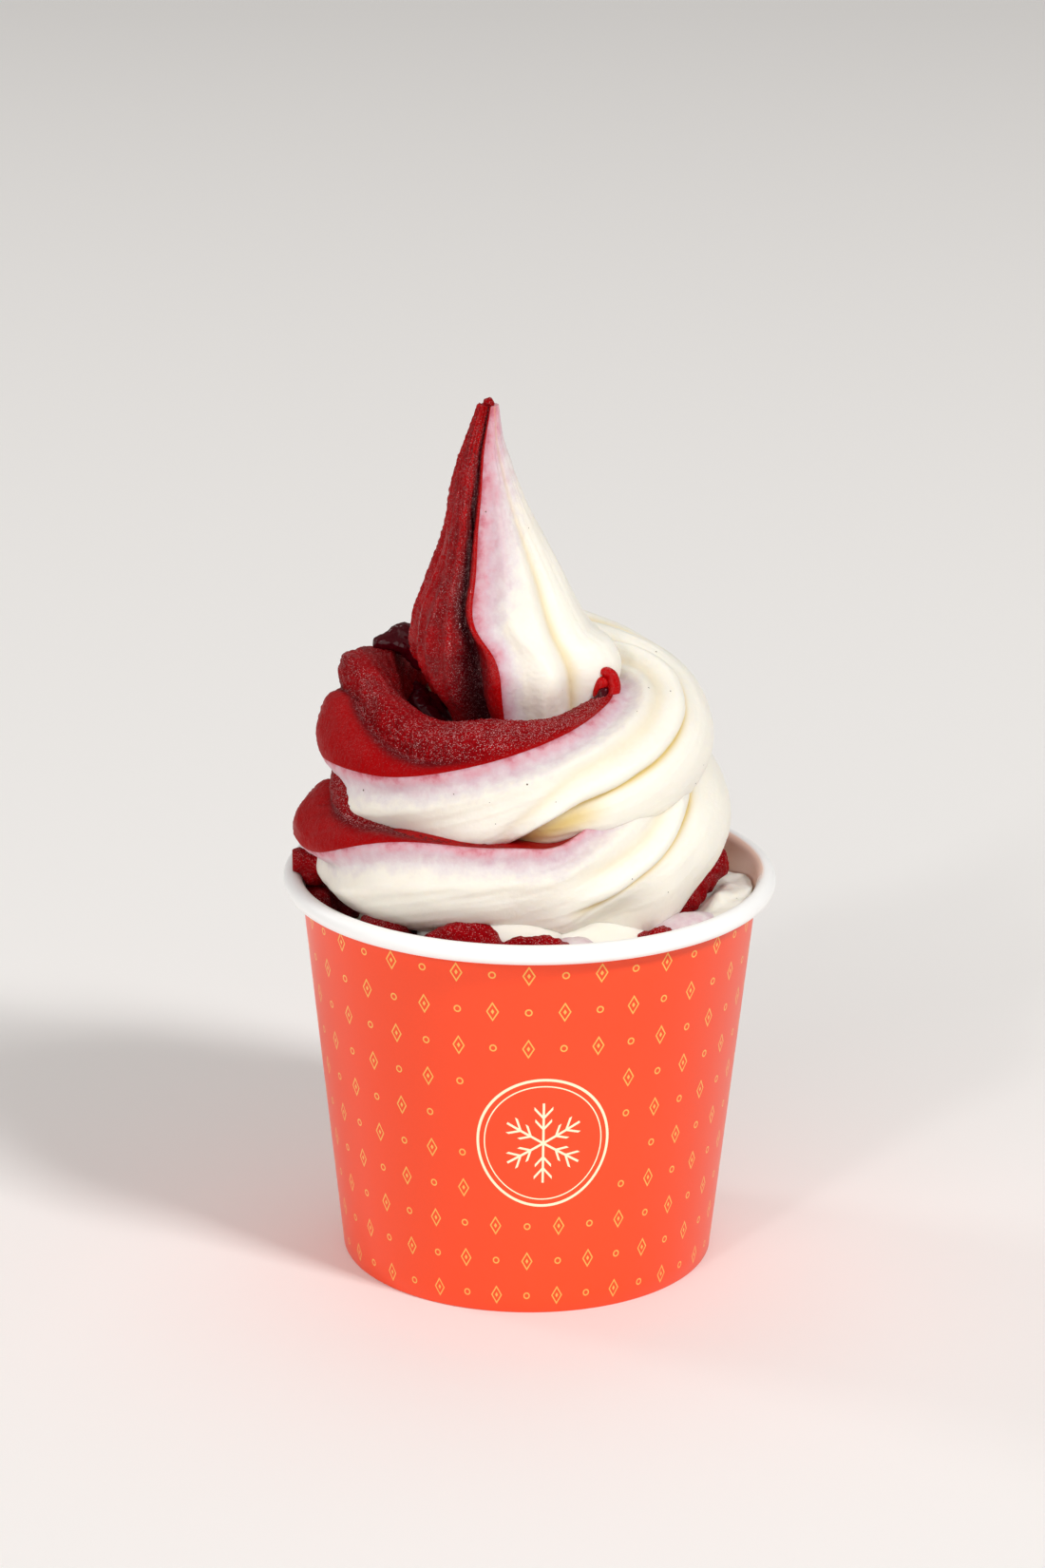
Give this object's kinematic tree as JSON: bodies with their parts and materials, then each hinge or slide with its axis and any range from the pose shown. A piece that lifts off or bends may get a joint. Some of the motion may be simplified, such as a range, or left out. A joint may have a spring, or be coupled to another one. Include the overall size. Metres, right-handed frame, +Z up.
{
  "type": "soft serve swirl in a paper cup",
  "caption": "Two-flavour soft serve swirl, berry beside vanilla, coiled up to a pulled peak in a tapered paper cup with a rolled rim.",
  "frame": {"origin": "middle of the circle the cup stands on", "axes": "+Z up along the cup's axis; -Y is the side the picture shows"},
  "size_m": [0.098, 0.098, 0.1754],
  "materials": {
    "berry_swirl": "frosty berry sorbet, satin with fine ice sparkle",
    "vanilla_swirl": "soft satin vanilla ice cream",
    "cup_wall": "satin coated paper board",
    "cup_bottom": "plain uncoated paper board"
  },
  "bodies": {
    "root": {"berry_swirl": "berry_swirl", "vanilla_swirl": "vanilla_swirl", "cup_wall": "cup_wall", "cup_bottom": "cup_bottom"}
  },
  "joints": []
}
